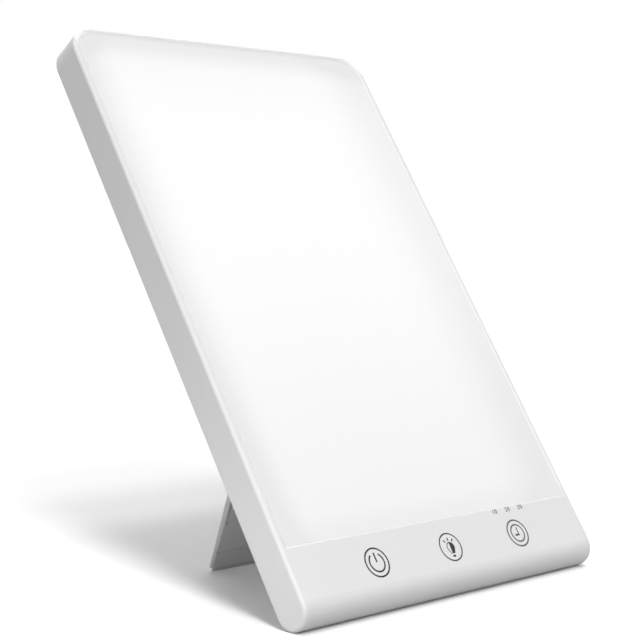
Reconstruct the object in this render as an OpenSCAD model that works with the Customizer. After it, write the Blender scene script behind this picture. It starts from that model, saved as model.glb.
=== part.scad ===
// Light therapy lamp: a thin edge-lit panel that leans back on a fold-out stand.
// The panel is drawn upright and then leaned: X across, Y from front to back, Z up the panel,
// with Z = 0 on the axis of its round bottom edge. The stand is drawn folded and then opened.

/* [Panel] */
// Length of the panel up its slope, with the round bottom edge
panel_h = 240; // [225:1:260]
// Width of the panel
panel_w = 153; // [146:1:170]
// Thickness of the panel
panel_t = 14.5; // [14.3:0.1:16]
// Radius of the two top corners
corner_r = 11.5; // [8:0.5:16]
// Radius of the small round on the front and back edges
edge_r = 1.3; // [0.8:0.1:1.6]
// Angle that the panel leans back from upright
lean_angle = 33.2; // [31:0.2:36]

/* [Front housing] */
// Wall of the housing
wall = 1.8; // [1.6:0.1:2.1]
// Rim that shows between the panel's edge and the diffuser
rim_w = 2.8; // [2.7:0.1:4]
// Thickness of the lip that the diffuser bears on
lip_t = 1.2; // [1:0.1:1.5]
// Height of the control strip above the axis of the bottom edge
strip_h = 19; // [18:0.5:24]
// Radius of the bosses that take the rear cover's lower screws
boss_r = 3; // [2.6:0.1:3.6]
// Distance of those bosses from the panel's side
boss_in = 20.5; // [17:0.5:23.5]
// Height of those bosses on the strip
boss_z = 8; // [5:0.5:11]
// Length of each ledge that the rear cover sits on
ledge_len = 12; // [6:1:20]
// Depth of those ledges from the wall
ledge_w = 1.4; // [1:0.1:2]
// Width of the slope from the rim's face down to the diffuser
lip_slope = 0.8; // [0.4:0.1:1.2]

/* [Light unit] */
// Depth of the diffuser's face below the rim
diffuser_sunk = 0.3; // [0.1:0.1:0.6]
// Thickness of the diffuser's flange
flange_t = 1.2; // [1:0.1:1.5]
// Gap between the diffuser and the edge of its window
window_gap = 0.1; // [0.1:0.05:0.3]
// Thickness of the diffusion film
film_t = 0.3; // [0.2:0.05:0.4]
// Thickness of the light guide
guide_t = 2.5; // [2.3:0.1:2.8]
// Thickness of the white reflector
reflector_t = 0.3; // [0.2:0.05:0.4]
// Thickness of the aluminium tray's floor
tray_t = 0.8; // [0.6:0.1:1]
// Thickness of the tray's upturned sides
tray_side_t = 1; // [0.6:0.1:1.2]
// Thickness of the LED strips
led_board_t = 0.8; // [0.6:0.1:1]
// Distance from one LED to the next
led_pitch = 12; // [8:0.5:16]
// LED size: off the strip, across it and along it
led_size = [0.7, 2, 3.5];
// Radius of the tray's screw pillars
pillar_r = 2.6; // [2.2:0.1:3.2]
// Distance of the pillars from the panel's side
pillar_in = 18.5; // [13:0.5:28]
// Heights of the lower and upper pillars
pillar_z = [122, 214];

/* [Control strip] */
// Distance of the outer touch keys from the panel's side
key_in = 38.8; // [37:0.1:42]
// Height of the touch keys on the strip
key_z = 7.8; // [6.5:0.1:9]
// Radius of a touch key's foam pad
key_r = 5.4; // [4:0.1:6]
// Length of the foam pads from the housing to the board
key_h = 2.9; // [2.4:0.1:3.4]
// Distance from one timer mark to the next
mark_pitch = 7.5; // [6.5:0.1:8]
// Distance of the control board's ends from the panel's side
board_in = 28; // [27:0.5:29]
// Thickness of the control board
board_t = 1.4; // [1:0.1:1.6]
// Lower edge of the control board
board_z = -3.4; // [-3.6:0.1:-2]
// Radius of the posts that the board is screwed to
post_r = 2.2; // [1.8:0.1:2.5]

/* [Power inlet] */
// Size of the inlet's body: along the plug, through the panel, up the panel
inlet_size = [12, 8, 9];
// Height of the inlet on the right side
inlet_z = 8; // [7:0.5:10]
// Radius of the inlet's collar in the wall
collar_r = 4; // [3.6:0.1:4.3]
// Radius of the hole for a 5.5 mm barrel plug
plug_r = 2.9; // [2.8:0.05:3.1]
// Depth of that hole
plug_depth = 10; // [8:0.5:11]
// Radius of the inlet's centre pin
pin_contact_r = 1; // [0.8:0.05:1.1]

/* [Rear cover] */
// Thickness of the rear cover
cover_t = 2; // [1.8:0.1:2.4]
// Gap round the rear cover
cover_gap = 0.2; // [0.1:0.05:0.3]
// Thickness of the stand recess's walls
recess_wall = 1.2; // [1:0.1:1.4]
// Height of the stiffening ribs inside the cover
rib_h = 1.6; // [1:0.1:2.4]
// Thickness of those ribs
rib_t = 1.2; // [1:0.1:1.6]
// Radius of a screw's shank
screw_r = 1.15; // [1:0.05:1.3]
// Radius of a cover screw's head
screw_head_r = 2.4; // [2.2:0.1:2.8]
// Depth of a screw head in the cover
screw_sink = 1.3; // [1:0.1:1.5]

/* [Stand] */
// Width of the stand
stand_w = 70.6; // [60:0.2:76]
// Height of the hinge axis up the panel
hinge_z = 95.3; // [90:0.5:105]
// Depth of the hinge axis below the back face
hinge_depth = 3.2; // [3.1:0.05:3.4]
// Height of the folded stand's foot above the axis of the bottom edge
foot_rise = 3.8; // [3:0.1:6]
// Thickness of the stand at the hinge
stand_t = 3.8; // [3.4:0.1:4]
// Thickness of the stand at the foot
stand_foot_t = 2.2; // [1.8:0.1:2.6]
// Radius of the hinge knuckles
knuckle_r = 2.7; // [2.5:0.05:2.9]
// Radius of the hinge pin
pin_r = 1; // [0.8:0.05:1.2]
// Length of the stand's heel above the hinge, which meets the stop
heel = 3; // [2.8:0.05:3.1]
// Width of the lug between the two knuckles
lug_w = 27; // [16:1:34]
// Gap between the folded stand and the recess
stand_gap = 0.5; // [0.4:0.1:0.8]
// Radius of the round on the stand's outer long edges
leaf_round = 1; // [0.6:0.1:1.2]
// Radius of the round on its inner long edges
leaf_inner_round = 0.5; // [0.3:0.1:0.7]
// Width of the grooves inside the stand's two long edges
groove_w = 1.4; // [1:0.1:2]
// Depth of those grooves
groove_d = 1.2; // [0.6:0.1:1.4]
// Width of the edge outside each groove
groove_in = 0.9; // [0.8:0.1:2]
// Height above the foot where the grooves begin
groove_z = 21; // [14:1:30]
// Height of the line above the foot where its band ends
foot_band = 9; // [6:0.5:12]
// Width and depth of that line
band_line = 0.4; // [0.3:0.1:0.6]
// Radius of the finger scoop beside the folded stand
scoop_r = 8; // [6:0.5:10]
// Depth of that scoop
scoop_d = 2.8; // [2:0.1:3.2]

/* [Feet] */
// Thickness of the stand's rubber foot strip
foot_pad_t = 1.5; // [1:0.1:2]
// Length of each rubber pad under the front edge
front_pad_len = 20; // [12:1:28]
// Width of those pads
front_pad_w = 3.4; // [3:0.1:5]
// Thickness of those pads
front_pad_t = 1; // [0.8:0.1:1.1]
// Distance of those pads from the panel's side
front_pad_in = 24.5; // [19:0.5:36]

/* [Hidden] */
$fn = 64;

eps = 0.01;
half_t = panel_t / 2;
half_w = panel_w / 2;
top_z = panel_h - half_t;

// Layers of the light unit, each value being the layer's rear face
lip_y = -half_t + lip_t;
flange_y = lip_y + flange_t;
film_y = flange_y + film_t;
guide_y = film_y + guide_t;
reflector_y = guide_y + reflector_t;
tray_y = reflector_y + tray_t;
cover_y = half_t - cover_t;
strip_inner_y = -half_t + wall;

// Outlines inside the housing: half widths and tops
inner_x = half_w - wall;
inner_top = top_z - wall;
tray_x = inner_x - cover_gap;
tray_top = inner_top - cover_gap;
led_board_x = tray_x - tray_side_t;
chip_x = led_board_x - led_board_t;
guide_x = chip_x - led_size.x - 0.2;
sheet_x = chip_x - 0.2;
window_x = half_w - rim_w;
window_top = top_z - rim_w;
window_r = corner_r - rim_w;
flange_low = strip_h - (rim_w - wall);
tray_low = flange_low + 0.4;
sheet_low = tray_low + tray_side_t + 0.2;
sheet_top = tray_top - tray_side_t - 0.2;

// The LED strips stop short of the corner curve
led_low = sheet_low + 3;
led_top = top_z - corner_r - 4;
led_span = led_top - led_low;
led_count = floor((led_span - led_size.z - 2) / led_pitch) + 1;
led_y = (flange_y + guide_y + film_t) / 2;
led_board_w = guide_t + 0.4;

// Control board
board_y = strip_inner_y + key_h;
board_back_y = board_y + board_t;
board_top = flange_low - 0.4;
board_x = half_w - board_in;
key_pitch = half_w - key_in;
post_in = 2.5;
post_hole = 2.4;
post_places = [for (s = [-1, 1]) each [[s * (board_x - post_in), 1.5], [s * key_pitch / 2, 12.4]]];
mark_z = board_top - 2;
mark_wall = 1;
light_size = [2, 0.8, 1.2];
lead_r = 0.6;
board_screw_r = 0.8;
board_screw_len = 3.4;
board_screw_head_r = 1.7;
board_screw_head_h = 0.8;
touch_chip_in = 18.5;
coil_in = 24.5;
capacitor_in = 6.5;
touch_chip_place = [board_x - touch_chip_in, 6];
driver_chip_place = [-6, 6];
coil_place = [coil_in - board_x, 5];
coil_h = 2.4;
coil_r = 3.2;
capacitor_place = [board_x - capacitor_in, 10];
capacitor_r = 2.3;

// Stand: the angle at which its foot reaches the floor follows from the lean and its length
hinge_y = half_t - hinge_depth;
stand_len = hinge_z - foot_rise;
hinge_rise = half_t - hinge_y * sin(lean_angle) + hinge_z * cos(lean_angle);
stand_from_upright = acos(hinge_rise / norm([stand_len, hinge_depth])) - atan(hinge_depth / stand_len);
open_angle = stand_from_upright + lean_angle;
knuckle_gap = 0.5;
washer_t = 0.4;
pin_run_gap = 0.06;
pin_seat_gap = 0.02;
stop_gap = 0.05;
notch_low = -(knuckle_r + 0.9);

// Stand recess in the rear cover
recess_w = stand_w + 2 * stand_gap;
recess_low = foot_rise - stand_gap;
recess_y = half_t - stand_t - 0.4;
capacitor_h = recess_y - recess_wall - 0.2 - board_back_y;
hinge_floor_y = hinge_y - heel - 0.3;
hinge_floor_low = hinge_z - knuckle_r - 1.5;
cheek_w = 4;
cheek_h = 8;
scoop_place = [recess_w / 2, foot_rise + 18];
stop_z = function (y, gap) (heel + gap + y * sin(open_angle)) / cos(open_angle);

// Screws of the rear cover: two into the housing's bosses, four into the tray's pillars
boss_x = half_w - boss_in;
pillar_x = half_w - pillar_in;
boss_places = [for (s = [-1, 1]) [s * boss_x, boss_z]];
pillar_places = [for (s = [-1, 1], z = pillar_z) [s * pillar_x, z]];
cover_screw_len = 6;
front_pad_x = half_w - front_pad_in;

// Ledges for the rear cover, as shares of the panel's height, and the ribs inside the cover
ledge_shares = [0.16, 0.42, 0.68, 0.9];
ledge_t = 2;
rib_clear = 22;
rib_low = hinge_z + rib_clear;
rib_high = pillar_z[1] + 2;
rib_rows = 3;
rib_end = pillar_x + 8;

// Ribs that hold the inlet
cradle_t = 1.2;
cradle_h = 5;
cradle_gap = 0.1;
cradle_len = inlet_size.x - 2;

// The origin lies under the middle of the leaned panel's outline
lean_reach = (top_z - edge_r) * sin(lean_angle) + (half_t - edge_r) * cos(lean_angle) + edge_r;
shift_y = -(lean_reach - half_t) / 2;

function arc(centre, r, from, to, steps = 8) =
    [for (i = [0:steps]) let (a = from + (to - from) * i / steps) centre + r * [cos(a), sin(a)]];

// Stands the upright panel on the floor, leaned back
module lean() {
    translate([0, shift_y, half_t]) rotate([-lean_angle, 0, 0]) children();
}

// A sheet through the panel's thickness, from y0 to y1, of an outline drawn in X and Z
module layer(y0, y1) {
    translate([0, y1, 0]) rotate([90, 0, 0]) linear_extrude(y1 - y0) children();
}

// A bar along X, of a section drawn in Y and Z
module along_x(length) {
    rotate([90, 0, 90]) linear_extrude(length, center = true) children();
}

// A round bar from front to back
module through(place, y0, y1, r) {
    translate([place.x, y1, place.y]) rotate([90, 0, 0]) cylinder(r = r, h = y1 - y0);
}

module both_sides() {
    children();
    mirror([1, 0, 0]) children();
}

// Upright outline with two round top corners
module sheet_outline(half, low, top, r) {
    polygon(concat([[half, low]], arc([half - r, top - r], r, 0, 90),
                   arc([r - half, top - r], r, 90, 180), [[-half, low]]));
}

// Outer form of the panel: rounded section, two turned corners, a top bar and a round bottom edge
module panel_form() {
    corner_z = top_z - corner_r;
    edge = concat([[0, -half_t]], arc([corner_r - edge_r, edge_r - half_t], edge_r, -90, 0),
                  arc([corner_r - edge_r, half_t - edge_r], edge_r, 0, 90), [[0, half_t]]);
    linear_extrude(corner_z)
        polygon(concat(arc([half_w - edge_r, half_t - edge_r], edge_r, 0, 90),
                       arc([edge_r - half_w, half_t - edge_r], edge_r, 90, 180),
                       arc([edge_r - half_w, edge_r - half_t], edge_r, 180, 270),
                       arc([half_w - edge_r, edge_r - half_t], edge_r, 270, 360)));
    both_sides()
        translate([half_w - corner_r, 0, corner_z]) rotate([90, 0, 0])
            rotate_extrude(angle = 90) polygon(edge);
    translate([0, 0, corner_z]) rotate([0, -90, 0])
        linear_extrude(2 * (half_w - corner_r), center = true) polygon(edge);
    rotate([0, 90, 0]) rotate([0, 0, -90])
        rotate_extrude(angle = 180)
            polygon(concat([[0, -half_w]], arc([half_t - edge_r, edge_r - half_w], edge_r, -90, 0),
                           arc([half_t - edge_r, half_w - edge_r], edge_r, 0, 90), [[0, half_w]]));
}

// Room inside the housing, open to the back
module housing_room() {
    layer(lip_y, half_t + 1)
        sheet_outline(inner_x, flange_low - cover_gap, inner_top, corner_r - wall);
    along_x(2 * inner_x)
        polygon(concat([[strip_inner_y, flange_low]], arc([0, 0], half_t - wall, 180, 360, 24),
                       [[half_t + 1, 0], [half_t + 1, flange_low]]));
}

// Opening for the diffuser, with the slope round it
module window_cut() {
    corner_z = window_top - window_r;
    out_y = -half_t - 1;
    sill_y = -half_t + diffuser_sunk;
    run = lip_slope * (sill_y - out_y) / diffuser_sunk;
    side = function (half, flip) [[0, flip * (lip_y + eps)], [0, flip * out_y], [half + run, flip * out_y],
                                  [half, flip * sill_y], [half, flip * (lip_y + eps)]];
    intersection() {
        union() {
            both_sides() linear_extrude(corner_z) polygon(side(window_x, 1));
            both_sides()
                translate([window_x - window_r, 0, corner_z]) rotate([90, 0, 0])
                    rotate_extrude(angle = 90) polygon(side(window_r, -1));
            translate([0, 0, corner_z]) rotate([0, -90, 0])
                linear_extrude(2 * (window_x - window_r), center = true) polygon(side(window_r, 1));
        }
        along_x(2 * panel_w)
            polygon([[out_y, strip_h - run], [sill_y, strip_h], [half_t, strip_h], [half_t, panel_h],
                     [out_y, panel_h]]);
    }
}

// Pockets for the rubber pads, square to the floor
module front_pad_places() {
    both_sides() translate([front_pad_x, shift_y, 0]) children();
}

module front_housing() {
    color("white") difference() {
        union() {
            lean() {
                difference() {
                    panel_form();
                    housing_room();
                    window_cut();
                    translate([inner_x - 1, 0, inlet_z]) rotate([0, 90, 0])
                        cylinder(r = collar_r + 0.1, h = wall + 2);
                }
                for (place = boss_places) difference() {
                    through(place, strip_inner_y - eps, cover_y, boss_r);
                    through(place, cover_y - cover_screw_len - 1, cover_y + 1, screw_r);
                }
                for (place = post_places) difference() {
                    through(place, strip_inner_y - eps, board_y, post_r);
                    through(place, board_y - post_hole, board_y + 1, board_screw_r);
                }
                inlet_cradle();
                cover_ledges();
            }
        }
        front_pad_places()
            translate([-front_pad_len / 2, -front_pad_w / 2, -1])
                cube([front_pad_len, front_pad_w, front_pad_t + 1]);
    }
}

// Ribs under and over the inlet's body
module inlet_cradle() {
    inlet_x = inner_x - inlet_size.x;
    rib_z = inlet_size.z / 2 + cradle_gap + cradle_t / 2;
    for (side = [-1, 1])
        translate([inlet_x, strip_inner_y - eps, inlet_z + side * rib_z - cradle_t / 2])
            cube([cradle_len, cradle_h, cradle_t]);
    translate([inlet_x, strip_inner_y - eps, inlet_z - inlet_size.z / 2])
        cube([cradle_len, -strip_inner_y - inlet_size.y / 2 + eps, inlet_size.z]);
}

// Ledges inside the side walls that carry the rear cover
module cover_ledges() {
    for (share = ledge_shares)
        both_sides()
            translate([inner_x - ledge_w, cover_y - ledge_t, share * top_z - ledge_len / 2])
                cube([ledge_w + eps, ledge_t, ledge_len]);
}

module diffuser_panel() {
    color("white") lean() {
        layer(-half_t + diffuser_sunk, flange_y)
            sheet_outline(window_x - window_gap, strip_h + window_gap, window_top - window_gap,
                          window_r - window_gap);
        layer(lip_y, flange_y)
            sheet_outline(tray_x, flange_low, tray_top, corner_r - wall - cover_gap);
    }
}

module light_sheet(y0, y1, half) {
    layer(y0, y1) sheet_outline(half, sheet_low, sheet_top, corner_r - wall - tray_side_t);
}

module diffusion_film() {
    color("whitesmoke") lean() light_sheet(flange_y, film_y, sheet_x);
}

module light_guide() {
    color("lightcyan", 0.6) lean() light_sheet(film_y, guide_y, guide_x);
}

module reflector_sheet() {
    color("white") lean() light_sheet(guide_y, reflector_y, sheet_x);
}

// Pressed aluminium tray: floor, four upturned sides and the screw pillars
module heat_tray() {
    side_low = tray_low + 4;
    side_top = top_z - corner_r;
    color("silver") lean() {
        difference() {
            layer(reflector_y, tray_y)
                sheet_outline(tray_x, tray_low, tray_top, corner_r - wall - cover_gap);
            for (place = pillar_places)
                through(place, reflector_y - 1, tray_y + 1, screw_r);
        }
        both_sides()
            translate([led_board_x, flange_y, side_low])
                cube([tray_side_t, reflector_y - flange_y + eps, side_top - side_low]);
        for (z = [tray_low, tray_top - tray_side_t])
            translate([corner_r - half_w, flange_y, z])
                cube([panel_w - 2 * corner_r, reflector_y - flange_y + eps, tray_side_t]);
        for (place = pillar_places) difference() {
            through(place, tray_y - eps, cover_y, pillar_r);
            through(place, tray_y - 1, cover_y + 1, screw_r);
        }
    }
}

module led_strip() {
    translate([chip_x, led_y - led_board_w / 2, led_low])
        cube([led_board_t, led_board_w, led_span]);
}

module led_chips() {
    first = led_low + (led_span - (led_count - 1) * led_pitch) / 2;
    for (i = [0:led_count - 1])
        translate([chip_x - led_size.x, led_y - led_size.y / 2, first + i * led_pitch - led_size.z / 2])
            cube(led_size);
}

module led_strip_left() {
    color("seashell") lean() mirror([1, 0, 0]) led_strip();
}

module led_strip_right() {
    color("seashell") lean() led_strip();
}

module led_chips_left() {
    color("khaki") lean() mirror([1, 0, 0]) led_chips();
}

module led_chips_right() {
    color("khaki") lean() led_chips();
}

module control_board() {
    color("darkgreen") lean() difference() {
        translate([-board_x, board_y, board_z])
            cube([2 * board_x, board_t, board_top - board_z]);
        for (place = post_places) through(place, board_y - 1, board_back_y + 1, board_screw_r + 0.1);
    }
}

module touch_pads() {
    color("dimgray") lean()
        for (i = [-1:1]) through([i * key_pitch, key_z], strip_inner_y, board_y, key_r);
}

module at_marks() {
    for (i = [-1:1]) translate([key_pitch + i * mark_pitch, 0, mark_z]) children();
}

module timer_lights() {
    color("lightyellow") lean()
        at_marks() translate([-light_size.x / 2, board_y - light_size.y, -light_size.z / 2])
            cube(light_size);
}

// Black block that keeps each timer light to its own mark
module timer_light_block() {
    block_w = 2 * mark_pitch + light_size.x + 1 + 2 * mark_wall;
    block_h = light_size.z + 0.8 + 2 * mark_wall;
    color("black") lean() difference() {
        translate([key_pitch - block_w / 2, strip_inner_y, mark_z - block_h / 2])
            cube([block_w, key_h, block_h]);
        at_marks()
            translate([-light_size.x / 2 - 0.5, strip_inner_y - 1, -light_size.z / 2 - 0.4])
                cube([light_size.x + 1, key_h + 2, light_size.z + 0.8]);
    }
}

// A part soldered to the back of the board
module on_board(place, size) {
    translate([place.x - size.x / 2, board_back_y, place.y - size.z / 2]) cube(size);
}

module touch_chip() {
    color("black") lean() on_board(touch_chip_place, [7, 1, 7]);
}

module driver_chip() {
    color("black") lean() on_board(driver_chip_place, [5, 1.5, 4]);
}

module driver_coil() {
    color("gray") lean() {
        on_board(coil_place, [8, coil_h - 0.6, 8]);
        through(coil_place, board_back_y, board_back_y + coil_h, coil_r);
    }
}

module driver_capacitors() {
    color("lightsteelblue") lean() both_sides()
        through(capacitor_place, board_back_y, board_back_y + capacitor_h, capacitor_r);
}

// Pan-headed screw driven from the back, with its head's seat at y
module screw(place, y, shank_r, shank_len, head_r, head_h) {
    slot = [head_r * 1.2, 0.5, 1.2];
    through(place, y - shank_len, y + eps, shank_r);
    difference() {
        through(place, y, y + head_h, head_r);
        translate([place.x, y + head_h, place.y]) rotate([90, 0, 0])
            for (a = [0, 90]) rotate([0, 0, a]) cube(slot, center = true);
    }
}

module board_screws() {
    color("silver") lean()
        for (place = post_places)
            screw(place, board_back_y, board_screw_r - pin_seat_gap, board_screw_len,
                  board_screw_head_r, board_screw_head_h);
}

module cover_screws() {
    color("silver") lean()
        for (place = concat(boss_places, pillar_places))
            screw(place, half_t - screw_sink, screw_r - pin_seat_gap, cover_screw_len,
                  screw_head_r, screw_sink - 0.3);
}

// Barrel jack with its centre pin, open at the right side
module power_inlet() {
    color("black") lean() translate([0, 0, inlet_z]) {
        difference() {
            union() {
                translate([inner_x - inlet_size.x, -inlet_size.y / 2, -inlet_size.z / 2]) cube(inlet_size);
                translate([inner_x - eps, 0, 0]) rotate([0, 90, 0]) cylinder(r = collar_r, h = wall);
            }
            translate([half_w - plug_depth, 0, 0]) rotate([0, 90, 0])
                cylinder(r = plug_r, h = plug_depth + 1);
        }
        translate([half_w - plug_depth - eps, 0, 0]) rotate([0, 90, 0])
            cylinder(r = pin_contact_r, h = plug_depth - 1.5);
    }
}

// A wire of eight sides along points that share one depth y
module wire(points, y, r) {
    last = len(points) - 1;
    ring = function (i) let (
        ahead = points[min(i + 1, last)] - points[max(i - 1, 0)],
        side = [ahead.y, -ahead.x] / norm(ahead))
        [for (k = [0:7]) let (a = k * 45)
            [points[i].x + r * cos(a) * side.x, y + r * sin(a), points[i].y + r * cos(a) * side.y]];
    polyhedron(
        points = [for (i = [0:last]) each ring(i)],
        faces = concat([[for (k = [0:7]) k]], [[for (k = [7:-1:0]) last * 8 + k]],
                       [for (i = [0:last - 1], k = [0:7])
                           let (n = (k + 1) % 8) [i * 8 + k, i * 8 + 8 + k, i * 8 + 8 + n, i * 8 + n]]));
}

// Two leads from the inlet's back to the board, one over and one under the screw boss
module inlet_leads() {
    inlet_x = inner_x - inlet_size.x;
    end_x = board_x - 0.5;
    lead_y = board_back_y + lead_r;
    color("firebrick") lean() {
        wire([[inlet_x, inlet_z + 1.5], [inlet_x - 1.8, inlet_z + 1.5], [boss_x + 3.6, boss_z + 4.5],
              [boss_x + 1, boss_z + 6.4], [end_x, boss_z + 6.6]], lead_y, lead_r);
        wire([[inlet_x, inlet_z - 1.5], [inlet_x - 1.8, inlet_z - 1.5], [boss_x + 3.4, boss_z - 3.6],
              [boss_x + 1, boss_z - 4.4], [end_x, boss_z - 3.8]], lead_y, lead_r);
    }
}

// Leads from the board's ends, over the inlet, to the foot of each LED strip
module led_leads() {
    strip_x = led_board_x - lead_r - 0.1;
    color("goldenrod") lean() both_sides()
        wire([[board_x - 0.4, boss_z + 4], [boss_x - 5, boss_z + 4.6], [boss_x + 4, led_low - 8],
              [strip_x - 4, led_low - 6.8], [strip_x - 0.5, led_low - 4], [strip_x, led_low - 1],
              [strip_x, led_low]], board_y - lead_r, lead_r);
}

// Section of the stand's recess in Y and Z, grown by a wall on the inside
module recess_section(grow) {
    floor_y = recess_y - grow;
    deep_y = hinge_floor_y - grow;
    deep_low = hinge_floor_low - grow;
    out_y = half_t + 1;
    slope = stop_z(deep_y - hinge_y, stop_gap + grow);
    polygon([[out_y, recess_low - grow], [floor_y, recess_low - grow], [floor_y, deep_low],
             [deep_y, deep_low], [deep_y, hinge_z + slope],
             [out_y, hinge_z + stop_z(out_y - hinge_y, stop_gap + grow)]]);
}

module rear_cover() {
    color("white") lean() difference() {
        union() {
            layer(cover_y, half_t)
                sheet_outline(inner_x - cover_gap, cover_gap, inner_top - cover_gap,
                              corner_r - wall - cover_gap);
            intersection() {
                along_x(recess_w + 2 * recess_wall) recess_section(recess_wall);
                translate([-half_w, -half_t, 0]) cube([panel_w, panel_t - eps, panel_h]);
            }
            both_sides() translate([recess_w / 2, hinge_floor_y - recess_wall, hinge_z - cheek_h / 2])
                cube([cheek_w, cover_y - hinge_floor_y + recess_wall + eps, cheek_h]);
            through(scoop_place, half_t - scoop_d - recess_wall, cover_y + eps, scoop_r + recess_wall);
            cover_ribs();
        }
        difference() {
            along_x(recess_w) recess_section(0);
            hinge_lug();
        }
        translate([-half_w, hinge_y, hinge_z]) rotate([0, 90, 0])
            cylinder(r = pin_r + pin_seat_gap, h = panel_w);
        through(scoop_place, half_t - scoop_d, half_t + 1, scoop_r);
        for (place = concat(boss_places, pillar_places)) {
            through(place, cover_y - 1, half_t + 1, screw_r + 0.2);
            through(place, half_t - screw_sink, half_t + 1, screw_head_r + 0.2);
        }
    }
}

// Lug that the pin passes through in the middle of the recess
module hinge_lug() {
    translate([0, hinge_y, hinge_z]) rotate([0, 90, 0]) cylinder(r = knuckle_r, h = lug_w, center = true);
    translate([-lug_w / 2, hinge_floor_y - eps, hinge_z - knuckle_r])
        cube([lug_w, hinge_depth, 2 * knuckle_r - 1.2]);
}

// Ribs inside the cover, clear of the recess and the pillars
module cover_ribs() {
    both_sides() translate([(pillar_x - rib_t) / 2, cover_y - rib_h, rib_low])
        cube([rib_t, rib_h + eps, rib_high - rib_low]);
    for (i = [1:rib_rows]) {
        z = rib_low + i * (rib_high - rib_low) / (rib_rows + 1);
        translate([-rib_end, cover_y - rib_h, z - rib_t / 2]) cube([2 * rib_end, rib_h + eps, rib_t]);
    }
}

module front_pads() {
    color("lightgray") front_pad_places()
        translate([-front_pad_len / 2, -front_pad_w / 2, 0])
            cube([front_pad_len, front_pad_w, front_pad_t]);
}

module on_hinge() {
    translate([0, hinge_y, hinge_z]) children();
}

module hinge_pin() {
    color("silver") lean() on_hinge() rotate([0, 90, 0])
        cylinder(r = pin_r, h = recess_w + 2 * cheek_w - 0.6, center = true);
}

module hinge_washers() {
    color("gainsboro") lean() on_hinge() both_sides()
        translate([stand_w / 2 + (stand_gap - washer_t) / 2, 0, 0]) rotate([0, 90, 0]) difference() {
            cylinder(r = knuckle_r - 0.3, h = washer_t);
            translate([0, 0, -1]) cylinder(r = pin_r + pin_seat_gap, h = washer_t + 2);
        }
}

// The stand's leaf, folded, with the hinge axis at the origin and its length as it reaches the floor
module folded_leaf() {
    outer_y = hinge_depth;
    inner_y = hinge_depth - stand_t;
    foot_y = hinge_depth - stand_foot_t;
    taper = (foot_y - inner_y) / (stand_len - knuckle_r);
    line_y = foot_y - taper * foot_band + band_line;
    difference() {
        union() {
            along_x(stand_w)
                polygon([[outer_y, heel - 0.6], [outer_y, -stand_len], [foot_y, -stand_len],
                         [inner_y, -knuckle_r], [inner_y, heel + inner_y], [0, heel],
                         [outer_y - 0.6, heel]]);
            rotate([0, 90, 0]) cylinder(r = knuckle_r, h = stand_w, center = true);
        }
        translate([-lug_w / 2 - knuckle_gap, -10, notch_low])
            cube([lug_w + 2 * knuckle_gap, 20, 20]);
        rotate([0, 90, 0]) cylinder(r = pin_r + pin_run_gap, h = stand_w + 2, center = true);
        translate([-stand_w, line_y - stand_t, foot_band - stand_len])
            cube([2 * stand_w, stand_t, band_line]);
        both_sides() {
            translate([stand_w / 2, outer_y, -stand_len - 1])
                edge_round(leaf_round, stand_len + heel + 2);
            translate([stand_w / 2, foot_y, -stand_len]) rotate([atan(taper), 0, 0]) mirror([0, 1, 0])
                translate([0, 0, -1]) edge_round(leaf_inner_round, stand_len - knuckle_r - 1);
        }
        both_sides()
            translate([stand_w / 2 - groove_in - groove_w, 0, groove_z - stand_len])
                along_groove();
    }
}

// Cutter for the round on an upright edge, the solid lying towards -X and -Y of it
module edge_round(r, length) {
    difference() {
        translate([-r, -r, 0]) cube([r + 1, r + 1, length]);
        translate([-r, -r, -1]) cylinder(r = r, h = length + 2);
    }
}

// A groove that keeps its depth from the tapered inner face
module along_groove() {
    foot_y = hinge_depth - stand_foot_t;
    inner_y = hinge_depth - stand_t;
    length = stand_len - groove_z - knuckle_r - 4;
    low_y = foot_y + (inner_y - foot_y) * groove_z / (stand_len - knuckle_r) + groove_d;
    high_y = low_y + (inner_y - foot_y) * length / (stand_len - knuckle_r);
    translate([groove_w / 2, 0, 0]) along_x(groove_w)
        polygon([[-10, 0], [low_y, 0], [high_y, length], [-10, length]]);
}

// Opens the folded stand about its hinge
module opened() {
    lean() on_hinge() rotate([open_angle, 0, 0]) children();
}

module stand_leaf() {
    color("white") difference() {
        opened() folded_leaf();
        translate([-half_w, -panel_h, foot_pad_t - panel_h]) cube([panel_w, 2 * panel_h, panel_h]);
    }
}

module stand_foot_strip() {
    color("lightgray") intersection() {
        opened() along_x(stand_w - 4)
            polygon([[hinge_depth - 0.2, -stand_len + 12], [hinge_depth - 0.2, -stand_len - 5],
                     [hinge_depth - stand_foot_t + 0.5, -stand_len - 5],
                     [hinge_depth - stand_foot_t + 0.5, -stand_len + 12]]);
        translate([-half_w, -panel_h, 0]) cube([panel_w, 2 * panel_h, foot_pad_t]);
    }
}

front_housing();
diffuser_panel();
diffusion_film();
light_guide();
reflector_sheet();
heat_tray();
led_strip_left();
led_strip_right();
led_chips_left();
led_chips_right();
control_board();
touch_pads();
timer_lights();
timer_light_block();
touch_chip();
driver_chip();
driver_coil();
driver_capacitors();
board_screws();
power_inlet();
inlet_leads();
led_leads();
rear_cover();
cover_screws();
front_pads();
hinge_pin();
hinge_washers();
stand_leaf();
stand_foot_strip();
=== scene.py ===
"""Looks of a light therapy lamp: a lit white panel that leans back on a fold-out stand.

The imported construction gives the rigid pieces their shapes. This script gives each its finish,
prints the key signs and the timer's numbers on the front, and sets the camera, light and floor.
"""

import math

import bmesh
import bpy
from mathutils import Matrix, Vector


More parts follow.
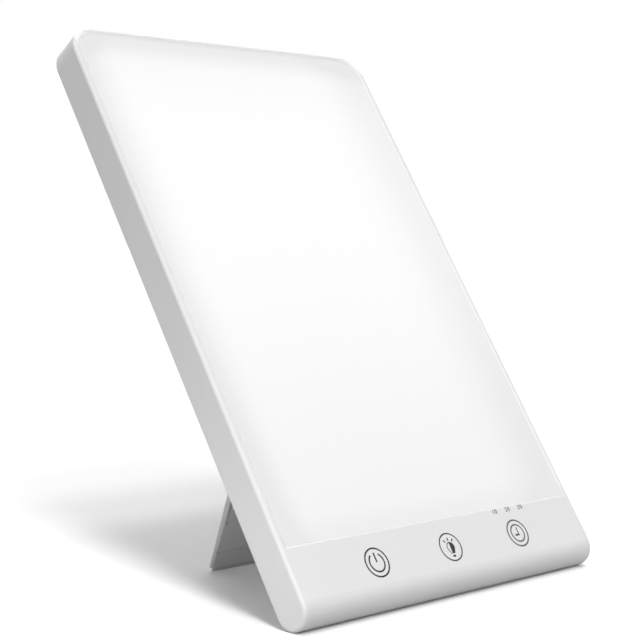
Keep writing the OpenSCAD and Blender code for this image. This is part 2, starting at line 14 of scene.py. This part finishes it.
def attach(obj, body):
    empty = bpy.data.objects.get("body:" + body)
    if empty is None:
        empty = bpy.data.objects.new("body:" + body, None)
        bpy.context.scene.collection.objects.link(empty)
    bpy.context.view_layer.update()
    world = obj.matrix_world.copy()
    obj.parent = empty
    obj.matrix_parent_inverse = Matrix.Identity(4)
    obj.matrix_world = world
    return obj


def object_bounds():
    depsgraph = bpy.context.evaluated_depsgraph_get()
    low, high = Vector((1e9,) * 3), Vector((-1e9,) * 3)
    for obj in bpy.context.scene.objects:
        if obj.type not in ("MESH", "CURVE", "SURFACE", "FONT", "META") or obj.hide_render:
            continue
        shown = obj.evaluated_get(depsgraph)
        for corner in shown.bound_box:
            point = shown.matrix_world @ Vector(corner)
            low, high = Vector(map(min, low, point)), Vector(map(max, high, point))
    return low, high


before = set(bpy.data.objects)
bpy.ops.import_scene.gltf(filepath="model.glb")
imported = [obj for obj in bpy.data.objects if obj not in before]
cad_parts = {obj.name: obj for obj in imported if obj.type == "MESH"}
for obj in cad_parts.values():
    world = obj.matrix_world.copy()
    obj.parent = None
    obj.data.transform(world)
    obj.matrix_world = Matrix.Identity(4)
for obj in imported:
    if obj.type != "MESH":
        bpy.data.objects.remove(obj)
cad_low, cad_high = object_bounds()

scene = bpy.context.scene

MM = 0.001

# The panel's own frame: x across, y through its thickness to the back, z up the panel from the
# axis of its round lower edge
LEAN = math.radians(33.2)
HALF_T = 7.25 * MM
FOOT_AXIS = Vector((0, cad_low.y + HALF_T, HALF_T))
PANEL = Matrix.Translation(FOOT_AXIS) @ Matrix.Rotation(-LEAN, 4, "X")
# A drawing plane on the front face: x across, y up the panel, z out of the face
FRONT = PANEL @ Matrix.Translation((0, -HALF_T, 0)) @ Matrix.Rotation(math.radians(90), 4, "X")

# The lit window in the panel's frame: half its width, its two ends, how deep its face lies, and how
# wide the slope of the lip round it is
WINDOW_X = 73.7 * MM
WINDOW_LOW = 19 * MM
WINDOW_HIGH = 229.95 * MM
SILL_Y = -6.9 * MM
LIP_SLOPE = 0.85 * MM

# What the lit panel gives beside the light that falls on it: at its middle, and added on its
# hidden sides, which start behind its face
OPAL_LIGHT = 0.49
OPAL_EDGE_LIGHT = 0.12
OPAL_SIDES = (SILL_Y, SILL_Y + 0.2 * MM)
# What it loses towards its edges, as the edge, the amount, and the two distances from that edge in
# millimetres between which the loss fades out. The last value is the most that it loses in all.
OPAL_LOSSES = (
    ("left", 0.158, -6, 17),
    ("right", 0.105, -5, 38),
    ("low", 0.04, 0, 12),
    ("low", 0.09, -20, 130),
    ("high", 0.12, 0, 14),
    ("high", 0.035, 0, 40),
)
OPAL_MOST_LOST = 0.17

# A glow painted on the housing's slope of the lip, in place of the light that the panel spills
# there:
# its strength, how far from the window it stays full, where it starts over the control strip, and
# where it ends through the panel's thickness
PAINTED_SPILL_GLOW = 0.12
PAINTED_SPILL_FULL = 0.3 * MM
PAINTED_SPILL_RISE = (WINDOW_LOW + 1 * MM, WINDOW_LOW + 6 * MM)
PAINTED_SPILL_END = (SILL_Y + 0.2 * MM, SILL_Y + 0.6 * MM)

# Sizes of the surface patterns. Brushed lines are clouds pressed together along x.
FLOW_CLOUD = 28 * MM
FROST = 0.5 * MM
BRUSH_LINE = 9 * MM
BRUSH_PRESS = (40, 1, 1)
COPPER_RUN = 3 * MM
BOARD_WEAVE = 0.3 * MM
GUIDE_DOT = 2.5 * MM


# ---- finishes -------------------------------------------------------------------------------


class Value:
    """A shader socket. Arithmetic on it adds the Math nodes that work it out."""

    def __init__(self, nodes, socket):
        self.nodes = nodes
        self.socket = socket

    def __add__(self, other):
        return self.nodes.maths("ADD", self, other)

    def __radd__(self, other):
        return self.nodes.maths("ADD", other, self)

    def __sub__(self, other):
        return self.nodes.maths("SUBTRACT", self, other)

    def __rsub__(self, other):
        return self.nodes.maths("SUBTRACT", other, self)

    def __mul__(self, other):
        return self.nodes.maths("MULTIPLY", self, other)

    def __rmul__(self, other):
        return self.nodes.maths("MULTIPLY", other, self)

    def __abs__(self):
        return self.nodes.maths("ABSOLUTE", self)


class Nodes:
    """A node tree that is filled node by node."""

    def __init__(self, tree):
        self.tree = tree
        tree.nodes.clear()

    def node(self, kind, settings=None, sockets=None, output=0):
        """Adds a node: its settings first, then the values or links of its sockets."""
        made = self.tree.nodes.new(kind)
        for name, value in (settings or {}).items():
            setattr(made, name, value)
        for name, value in (sockets or {}).items():
            if isinstance(value, Value):
                self.tree.links.new(value.socket, made.inputs[name])
            else:
                made.inputs[name].default_value = value
        return Value(self, made.outputs[output]) if made.outputs else None

    def maths(self, operation, *values):
        """The result of one Math operation."""
        return self.node("ShaderNodeMath", {"operation": operation}, dict(enumerate(values)))

    def largest(self, *values):
        """The larger of two values."""
        return self.maths("MAXIMUM", *values)

    def blend(self, share, first, second):
        """A colour between two colours. The node's colour sockets have numbers of their own."""
        return self.node(
            "ShaderNodeMix", {"data_type": "RGBA"}, {0: share, 6: first, 7: second}, output=2
        )


def grey(level, tint=(1, 1, 1)):
    """A linear colour of that lightness, slightly tinted."""
    return (level * tint[0], level * tint[1], level * tint[2], 1)


class Finish(Nodes):
    """A material, with the patterns that the finishes share."""

    def __init__(self, name):
        self.material = bpy.data.materials.new(name)
        self.material.use_nodes = True
        super().__init__(self.material.node_tree)
        self.place = self.node("ShaderNodeTexCoord", output="Object")

    def noise(self, size, detail=2.0, place=None):
        """Noise from 0 to 1 with blotches of about that size in metres."""
        return self.node(
            "ShaderNodeTexNoise",
            sockets={"Vector": place or self.place, "Scale": 1 / size, "Detail": detail},
        )

    def smooth(self, value, low, high):
        """From 0 at low to 1 at high, with soft ends."""
        return self.node(
            "ShaderNodeMapRange",
            {"interpolation_type": "SMOOTHSTEP"},
            {"Value": value, "From Min": low, "From Max": high},
        )

    def colour(self, level):
        """A grey from a value."""
        channels = dict.fromkeys(("Red", "Green", "Blue"), level)
        return self.node("ShaderNodeCombineColor", sockets=channels)

    def bump(self, height, depth):
        """A normal that rises and falls by that depth in metres."""
        return self.node("ShaderNodeBump", sockets={"Height": height, "Distance": depth})

    def in_panel(self):
        """The place in the panel's own frame, as three values in metres."""
        place = self.node(
            "ShaderNodeMapping",
            {"vector_type": "TEXTURE"},
            {"Vector": self.place, "Location": FOOT_AXIS, "Rotation": (-LEAN, 0, 0)},
        )
        split = self.node("ShaderNodeSeparateXYZ", sockets={"Vector": place}).socket.node
        return [Value(self, split.outputs[axis]) for axis in "XYZ"]

    def surface(self, sockets):
        """Closes the material with those sockets of the Principled shader."""
        shader = self.node("ShaderNodeBsdfPrincipled", sockets=sockets)
        self.node("ShaderNodeOutputMaterial", sockets={"Surface": shader})
        return self.material


def swing(pattern, amount):
    """What a pattern adds to a value round which it swings by half that amount either way."""
    return (pattern - 0.5) * amount


def eroded(finish, light, dark, roughness, grain=0.45 * MM, depth=0.012 * MM, sheen=0.5):
    """The sockets of a moulded surface with a fine eroded texture and faint flow clouds."""
    clouds = finish.noise(FLOW_CLOUD, detail=3.0)
    texture = finish.noise(grain, detail=3.0)
    return {
        "Base Color": finish.blend(clouds, dark, light),
        "Roughness": roughness + swing(texture, 0.12) + swing(clouds, 0.05),
        "Normal": finish.bump(texture, depth),
        "Specular IOR Level": sheen,
    }


def moulded(name, *look):
    """A moulded plastic or rubber."""
    finish = Finish(name)
    return finish.surface(eroded(finish, *look))


def housing_plastic(name):
    """White satin plastic, with a painted glow on the slope of its lip that stands in for the light
    that the lit panel spills there.
    """
    finish = Finish(name)
    x, y, z = finish.in_panel()
    outside = finish.largest(abs(x) - WINDOW_X, z - WINDOW_HIGH)
    near = 1.0 - finish.smooth(outside, PAINTED_SPILL_FULL, LIP_SLOPE)
    above_strip = finish.smooth(z, *PAINTED_SPILL_RISE)
    at_front = 1.0 - finish.smooth(y, *PAINTED_SPILL_END)
    sockets = eroded(finish, light=grey(0.865), dark=grey(0.85), roughness=0.5, sheen=0.3)
    # Painted light: the housing glows on its lip slope, standing in for light spilled from the
    # panel
    sockets["Emission Color"] = finish.colour(near * above_strip * at_front * PAINTED_SPILL_GLOW)
    sockets["Emission Strength"] = 1.0
    return finish.surface(sockets)


def lit_opal(name):
    """The lit panel: even light that falls off softly and differently towards each edge."""
    finish = Finish(name)
    x, y, z = finish.in_panel()
    distance = {
        "left": x + WINDOW_X,
        "right": WINDOW_X - x,
        "low": z - WINDOW_LOW,
        "high": WINDOW_HIGH - z,
    }
    lost = sum(
        amount - amount * finish.smooth(distance[edge], start * MM, end * MM)
        for edge, amount, start, end in OPAL_LOSSES
    )
    seen = OPAL_LIGHT - finish.maths("MINIMUM", lost, OPAL_MOST_LOST)
    hidden = finish.smooth(y, *OPAL_SIDES)
    frost = finish.noise(FROST, detail=3.0)
    return finish.surface(
        {
            "Base Color": finish.blend(frost, grey(0.50), grey(0.53)),
            "Emission Color": finish.colour(seen + hidden * OPAL_EDGE_LIGHT),
            "Emission Strength": 1.0,
            "Roughness": 0.4 + swing(frost, 0.1),
            "Normal": finish.bump(frost, 0.006 * MM),
        }
    )


def brushed(name, level, roughness, tint=(1, 1, 1)):
    """Metal with fine drawn lines that run across x."""
    finish = Finish(name)
    pressed = finish.node(
        "ShaderNodeMapping", sockets={"Vector": finish.place, "Scale": BRUSH_PRESS}
    )
    lines = finish.noise(BRUSH_LINE, detail=4.0, place=pressed)
    return finish.surface(
        {
            "Base Color": finish.blend(lines, grey(level * 0.9, tint), grey(level, tint)),
            "Metallic": 1.0,
            "Roughness": roughness + swing(lines, 0.15),
            "Normal": finish.bump(lines, 0.01 * MM),
        }
    )


def circuit(name):
    """Green solder mask with copper runs that show faintly beneath it."""
    finish = Finish(name)
    runs = finish.node(
        "ShaderNodeTexVoronoi",
        {"distance": "MANHATTAN", "feature": "F1"},
        {"Vector": finish.place, "Scale": 1 / COPPER_RUN},
    )
    copper = finish.smooth(runs, 0.42, 0.46)
    weave = finish.noise(BOARD_WEAVE)
    return finish.surface(
        {
            "Base Color": finish.blend(copper, (0.01, 0.13, 0.045, 1), (0.03, 0.22, 0.08, 1)),
            "Roughness": 0.35 + weave * 0.1,
            "Normal": finish.bump(copper, 0.03 * MM),
        }
    )


def clear_acrylic(name):
    """The clear guide, with the fine dots that turn the light forward."""
    finish = Finish(name)
    dots = finish.node(
        "ShaderNodeTexVoronoi", sockets={"Vector": finish.place, "Scale": 1 / GUIDE_DOT}
    )
    dot = 1.0 - finish.smooth(dots, 0.14, 0.2)
    return finish.surface(
        {
            "Base Color": finish.blend(dot, grey(0.96), grey(0.85)),
            "Roughness": 0.06 + dot * 0.5,
            "Transmission Weight": 0.9,
            "IOR": 1.49,
        }
    )


# One finish for each slot name. For a moulded one: its name, light and dark colour, roughness,
# grain size, grain depth and sheen.
FINISHES = {
    "housing_white": housing_plastic("white_satin_plastic"),
    "opal_panel": lit_opal("lit_opal_acrylic"),
    "film": moulded("frosted_film", grey(0.88), grey(0.85), 0.55, 0.2 * MM, 0.004 * MM),
    "clear_guide": clear_acrylic("dotted_clear_acrylic"),
    "reflector_white": moulded("reflector_foil", grey(0.93), grey(0.9), 0.7, 0.3 * MM),
    "tray_aluminium": brushed("pressed_aluminium", 0.72, 0.38),
    "strip_board": moulded("white_lacquered_board", grey(0.84), grey(0.8), 0.35, 0.3 * MM),
    "led_phosphor": moulded(
        "led_phosphor", (0.88, 0.68, 0.2, 1), (0.8, 0.58, 0.14, 1), 0.5, 0.15 * MM
    ),
    "circuit_green": circuit("solder_masked_board"),
    "conductive_foam": moulded(
        "conductive_foam", grey(0.028), grey(0.014), 0.9, 0.5 * MM, 0.1 * MM, 0.2
    ),
    "black_plastic": moulded("black_moulded_plastic", grey(0.016), grey(0.01), 0.42),
    "coil_case": moulded("shielded_coil_case", grey(0.05), grey(0.035), 0.6, 0.3 * MM),
    "capacitor_can": brushed("capacitor_can", 0.55, 0.3, (0.95, 0.98, 1.0)),
    "screw_steel": brushed("zinc_plated_steel", 0.62, 0.32, (1, 0.99, 0.96)),
    "lead_red": moulded(
        "red_lead_insulation", (0.45, 0.02, 0.015, 1), (0.36, 0.014, 0.01, 1), 0.45
    ),
    "lead_white": moulded(
        "white_lead_insulation", (0.78, 0.75, 0.66, 1), (0.72, 0.69, 0.6, 1), 0.45
    ),
    "pad_rubber": moulded(
        "pale_silicone_rubber", grey(0.78), grey(0.74), 0.7, 0.3 * MM, 0.02 * MM, 0.3
    ),
    "pin_steel": brushed("bright_pin_steel", 0.66, 0.22),
    "washer_nylon": moulded("nylon_washer", (0.78, 0.76, 0.7, 1), (0.72, 0.7, 0.64, 1), 0.4),
}
DARK_INK = moulded("dark_print", grey(0.03), grey(0.024), 0.5, 0.15 * MM, 0.004 * MM, 0.3)
GREY_INK = moulded("grey_print", grey(0.12), grey(0.10), 0.5, 0.15 * MM, 0.004 * MM, 0.3)
PALE_INK = moulded("pale_print", grey(0.17), grey(0.15), 0.5, 0.15 * MM, 0.004 * MM, 0.3)

# A slot's material has the slot's name, which may be followed by a dot and a number
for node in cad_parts.values():
    for place in node.material_slots:
        place.material = FINISHES[place.material.name.split(".")[0]]


# ---- objects --------------------------------------------------------------------------------


def added(name, data):
    """A new object in the scene."""
    made = bpy.data.objects.new(name, data)
    scene.collection.objects.link(made)
    return made


def meshed(name, bm, material):
    """An object with the finished mesh in that material."""
    mesh = bpy.data.meshes.new(name)
    bm.to_mesh(mesh)
    bm.free()
    mesh.materials.append(material)
    return added(name, mesh)


# ---- printed signs --------------------------------------------------------------------------

# The middle key's height up the panel, the step across to the keys beside it, how thick the ink
# lies, and how close two points are when they are one
KEY_Z = 7.65 * MM
KEY_PITCH = 37.7 * MM
INK_T = 0.03 * MM
TOUCHING = 1e-7

# The rings of the keys, by their middle radius and width. A stroke is given as its two ends and its
# width, in millimetres from the middle of its key.
RING_R, RING_W = 5.2 * MM, 0.6 * MM
INNER_R = 3.35 * MM

POWER_W, POWER_OPENING = 0.62 * MM, math.radians(66)
POWER_STROKE = ((0, 0.1), (0, 3.6), 0.66)

BULB_RING_W = RING_W * 0.85
BULB_R, BULB_ARC, BULB_W = 1.95 * MM, math.radians(122), 0.34 * MM
NECK_X, NECK_Z = 0.95 * MM, -2.45 * MM
CAP_R, CAP_Z = 0.8 * MM, -3.1 * MM
RAYS = (((-2.4, 2.9), (-1.65, 1.95)), ((0, 3.65), (0, 2.4)), ((2.4, 2.9), (1.65, 1.95)))
RAY_W = 0.52
RING_STEPS, BULB_STEPS, CAP_STEPS = 96, 20, 24

CLOCK_W = 0.58 * MM
CLOCK_LONG_HAND = ((0.35, -0.65), (0.35, 2.25), 0.5)
CLOCK_SHORT_HAND = ((-1.7, -0.65), (0.6, -0.65), 0.66)

# The minutes with their places across in millimetres, and their height up the panel
MINUTES = (("10", 30.6), ("20", 38.0), ("30", 45.4))
MINUTES_Z = 17.3 * MM
MINUTES_SIZE, MINUTES_SPACING, MINUTES_WEIGHT = 2.4 * MM, 1.2, 0.06 * MM


def sign(name, bm, ink):
    """Makes the finished print a piece that rides on the lamp."""
    made = meshed(name, bm, ink)
    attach(made, "lamp")


def ring(bm, radius, width, opening=0.0):
    """A flat ring round the sign's middle, open by that angle at its top."""
    start = Matrix.Rotation(opening / 2, 3, "Z")
    edge = bm.edges.new(
        [bm.verts.new(start @ Vector((0, radius + side * width / 2, 0))) for side in (-1, 1)]
    )
    bmesh.ops.spin(
        bm,
        geom=[*edge.verts, edge],
        cent=(0, 0, 0),
        axis=(0, 0, 1),
        angle=math.tau - opening,
        steps=RING_STEPS,
        use_merge=opening == 0,
    )


def bar(bm, start, end, width):
    """A flat stroke from one point to another, in millimetres."""
    start, end = Vector((*start, 0)) * MM, Vector((*end, 0)) * MM
    along = end - start
    turn = Matrix.Rotation(math.atan2(along.y, along.x), 4, "Z")
    size = Matrix.Diagonal((along.length, width * MM, 1, 1))
    bmesh.ops.create_grid(
        bm,
        x_segments=1,
        y_segments=1,
        size=0.5,
        matrix=Matrix.Translation((start + end) / 2) @ turn @ size,
    )


def half_bulb(bm, side):
    """One half of a bulb's glass as a flat face, to the right for side 1 and the left for -1."""
    top = bm.verts.new((0, BULB_R, 0))
    arc = bmesh.ops.spin(
        bm,
        geom=[top],
        cent=(0, 0, 0),
        axis=(0, 0, 1),
        angle=-side * BULB_ARC,
        steps=BULB_STEPS,
    )
    tip = arc["geom_last"][0]
    for x, y in ((side * NECK_X, NECK_Z), (0, NECK_Z)):
        corner = bm.verts.new((x, y, 0))
        bm.edges.new((tip, corner))
        tip = corner
    bm.edges.new((tip, top))
    rim = [edge for edge in bm.edges if not edge.link_faces]
    return bmesh.ops.contextual_create(bm, geom=rim)["faces"]


def printed(name, bm, centre, ink):
    """Gives flat strokes the ink's thickness and lays them on the front."""
    bmesh.ops.remove_doubles(bm, verts=bm.verts, dist=TOUCHING)
    grown = bmesh.ops.extrude_face_region(bm, geom=bm.faces[:])
    top = [v for v in grown["geom"] if isinstance(v, bmesh.types.BMVert)]
    bmesh.ops.translate(bm, verts=top, vec=(0, 0, INK_T))
    bmesh.ops.recalc_face_normals(bm, faces=bm.faces)
    bmesh.ops.transform(bm, matrix=FRONT @ Matrix.Translation((*centre, 0)), verts=bm.verts)
    sign(name, bm, ink)


def power_sign():
    """An open ring with a stroke through its gap."""
    bm = bmesh.new()
    ring(bm, RING_R, RING_W)
    ring(bm, INNER_R, POWER_W, opening=POWER_OPENING)
    bar(bm, *POWER_STROKE)
    printed("power_sign", bm, (-KEY_PITCH, KEY_Z), DARK_INK)


def brightness_sign():
    """A bulb with its left half in outline and its right half filled, under three rays."""
    bm = bmesh.new()
    half_bulb(bm, 1)
    for face in half_bulb(bm, -1):
        bmesh.ops.inset_region(bm, faces=[face], thickness=BULB_W, use_boundary=True)
        bmesh.ops.delete(bm, geom=[face], context="FACES")
    outline = bmesh.ops.create_circle(
        bm,
        cap_ends=True,
        segments=CAP_STEPS,
        radius=CAP_R,
        matrix=Matrix.Translation((0, CAP_Z, 0)),
    )["verts"]
    cap = outline[0].link_faces[0]
    bmesh.ops.bisect_plane(
        bm,
        geom=[*cap.verts, *cap.edges, cap],
        plane_co=(0, CAP_Z, 0),
        plane_no=(0, 1, 0),
        clear_outer=True,
    )
    ring(bm, RING_R, BULB_RING_W)
    for outer, inner in RAYS:
        bar(bm, outer, inner, RAY_W)
    printed("brightness_sign", bm, (0, KEY_Z), DARK_INK)


def timer_sign():
    """A clock face, and its darker hand as a print of its own."""
    bm = bmesh.new()
    ring(bm, RING_R, RING_W)
    ring(bm, INNER_R, CLOCK_W)
    bar(bm, *CLOCK_LONG_HAND)
    printed("timer_sign", bm, (KEY_PITCH, KEY_Z), GREY_INK)
    bm = bmesh.new()
    bar(bm, *CLOCK_SHORT_HAND)
    printed("timer_hand", bm, (KEY_PITCH, KEY_Z), DARK_INK)


def timer_numbers():
    """The minutes that the timer key steps through."""
    for text, x in MINUTES:
        words = bpy.data.curves.new("minutes_" + text, "FONT")
        words.body = text
        words.align_x, words.align_y = "CENTER", "CENTER"
        words.size = MINUTES_SIZE
        words.space_character = MINUTES_SPACING
        words.offset = MINUTES_WEIGHT
        words.extrude = INK_T / 2
        holder = added("minutes", words)
        # The text has its outline only after an update
        bpy.context.view_layer.update()
        flat = bpy.data.meshes.new_from_object(
            holder.evaluated_get(bpy.context.evaluated_depsgraph_get())
        )
        bpy.data.objects.remove(holder)
        bm = bmesh.new()
        bm.from_mesh(flat)
        bpy.data.meshes.remove(flat)
        bmesh.ops.remove_doubles(bm, verts=bm.verts, dist=TOUCHING)
        bmesh.ops.recalc_face_normals(bm, faces=bm.faces)
        lay = FRONT @ Matrix.Translation((x * MM, MINUTES_Z, INK_T / 2))
        bmesh.ops.transform(bm, matrix=lay, verts=bm.verts)
        sign("minutes_" + text, bm, PALE_INK)


power_sign()
brightness_sign()
timer_sign()
timer_numbers()


# ---- camera, light and floor ----------------------------------------------------------------

# The camera's place in metres, its heading from y towards x, its tilt, and its lens in millimetres
CAMERA_PLACE = (-0.41160, -0.42288, 0.12670)
YAW, PITCH = math.radians(44.1), math.radians(-3.0)
LENS, SENSOR = 87.03, 36

# Each sun's name, the direction it is seen in, the light on a face turned to it, and its width in
# degrees. Three keys stand to the front left at different heights, so that the shadow is crisp
# beside the lamp and fades away behind it.
SUNS = (
    ("low_key", (-0.488, -1.2, 1), 0.225, 14),
    ("main_key", (-0.348, -0.66, 1), 0.24, 14),
    ("high_key", (-0.254, -0.3, 1), 0.215, 14),
    ("top_light", (0, 0, 1), 0.212, 40),
    ("back_light", (0.3, 0.6, 0.6), 0.13, 50),
    ("right_back_light", (0.7, 0.6, 0.35), 0.25, 40),
)
# Each lit card's name, its place, the place it faces, its two sides, all three in metres, and its
# power in watts
CARDS = (
    ("wall_card", (-0.20, -0.08, 0.10), (-0.076, -0.03, 0.06), (0.1, 0.1), 0.018),
    ("low_card", (-0.15, -0.05, 0.012), (0, 0.02, 0.01), (0.1, 0.02), 0.0135),
)
# The world's light on the lamp, and its white to the camera
SKY = 0.1
SKY_SEEN = 1.0

# The floor is pale for what it throws back on the lamp, white with a slight glow to the camera, and
# open from below. Its clouds and half its width are in metres.
FLOOR_PALE, FLOOR_PALER = 0.48, 0.50
FLOOR_CLOUD = 0.4
FLOOR_SEEN = 1.0
FLOOR_GLOW = 0.07
FLOOR_HALF = 20


def facing(made, direction, axis="Z"):
    """Turns that axis of an object towards a direction."""
    made.rotation_mode = "QUATERNION"
    made.rotation_quaternion = direction.to_track_quat(axis, "Y")


camera = added("camera", bpy.data.cameras.new("camera"))
camera.data.lens = LENS
camera.data.sensor_width = SENSOR
camera.location = CAMERA_PLACE
level = math.cos(PITCH)
look = Vector((math.sin(YAW) * level, math.cos(YAW) * level, math.sin(PITCH)))
facing(camera, look, axis="-Z")
scene.camera = camera


def soft_sun(name, towards, strength, spread):
    """A wide sun, seen in that direction, with the light on a face turned to it as its strength."""
    light = bpy.data.lights.new(name, "SUN")
    light.energy = strength * math.pi
    light.angle = math.radians(spread)
    facing(added(name, light), Vector(towards))


def white_card(name, place, target, size, energy):
    """A lit card, hidden from the camera and from gloss."""
    light = bpy.data.lights.new(name, "AREA")
    light.shape = "RECTANGLE"
    light.size, light.size_y = size
    light.energy = energy
    card = added(name, light)
    card.location = place
    facing(card, Vector(place) - Vector(target))
    card.visible_camera = False
    card.visible_glossy = False


for sun in SUNS:
    soft_sun(*sun)
for card in CARDS:
    white_card(*card)


def seen_directly(nodes):
    """1 for what the camera sees, straight or through gloss and glass, and 0 for light."""
    path = nodes.node("ShaderNodeLightPath").socket.node
    kinds = ("Is Camera Ray", "Is Glossy Ray", "Is Transmission Ray")
    straight, gloss, glass = (Value(nodes, path.outputs[kind]) for kind in kinds)
    return nodes.largest(nodes.largest(straight, gloss), glass)


scene.world = bpy.data.worlds.new("studio")
scene.world.use_nodes = True
sky = Nodes(scene.world.node_tree)
dim = sky.node("ShaderNodeBackground", sockets={"Color": grey(1), "Strength": SKY})
white = sky.node("ShaderNodeBackground", sockets={"Color": grey(1), "Strength": SKY_SEEN})
shown = sky.node("ShaderNodeMixShader", sockets={0: seen_directly(sky), 1: dim, 2: white})
sky.node("ShaderNodeOutputWorld", sockets={"Surface": shown})

table = Finish("studio_floor")
shade = table.blend(table.noise(FLOOR_CLOUD), grey(FLOOR_PALE), grey(FLOOR_PALER))
paper = table.node("ShaderNodeBsdfDiffuse", sockets={"Color": shade})
bright = table.node("ShaderNodeBsdfDiffuse", sockets={"Color": grey(FLOOR_SEEN)})
glow = table.node("ShaderNodeEmission", sockets={"Color": grey(1), "Strength": FLOOR_GLOW})
lifted = table.node("ShaderNodeAddShader", sockets={0: bright, 1: glow})
from_above = table.node(
    "ShaderNodeMixShader", sockets={0: seen_directly(table), 1: paper, 2: lifted}
)
open_below = table.node("ShaderNodeBsdfTransparent")
underside = table.node("ShaderNodeNewGeometry", output="Backfacing")
floor_look = table.node(
    "ShaderNodeMixShader", sockets={0: underside, 1: from_above, 2: open_below}
)
table.node("ShaderNodeOutputMaterial", sockets={"Surface": floor_look})

ground = bmesh.new()
bmesh.ops.create_grid(ground, x_segments=8, y_segments=8, size=FLOOR_HALF)
floor = meshed("floor", ground, table.material)

scene.view_settings.view_transform = "Standard"
